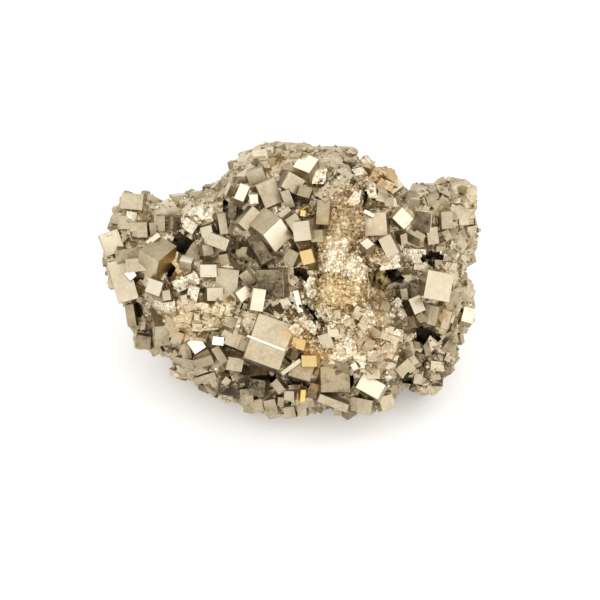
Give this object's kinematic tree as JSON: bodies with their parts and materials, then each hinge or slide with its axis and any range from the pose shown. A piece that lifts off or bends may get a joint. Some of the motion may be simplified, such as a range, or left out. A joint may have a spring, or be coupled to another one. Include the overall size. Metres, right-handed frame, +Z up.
{
  "type": "pyrite crystal specimen",
  "caption": "Metallic brassy-grey mineral specimen: a lump of intergrown cubes of mixed sizes with dark cavities and rusty stains, cut flat underneath to stand.",
  "frame": {"origin": "on the flat base, under the middle of the bounding box", "axes": "+X to the viewer's right along the specimen's length, +Y to its back, +Z up; the display face looks along -Y and up"},
  "size_m": [0.076, 0.056, 0.05],
  "materials": {
    "pyrite": "metallic crystal faces with iron stains in the hollows"
  },
  "bodies": {
    "root": {"pyrite_cluster": "pyrite"}
  },
  "joints": []
}
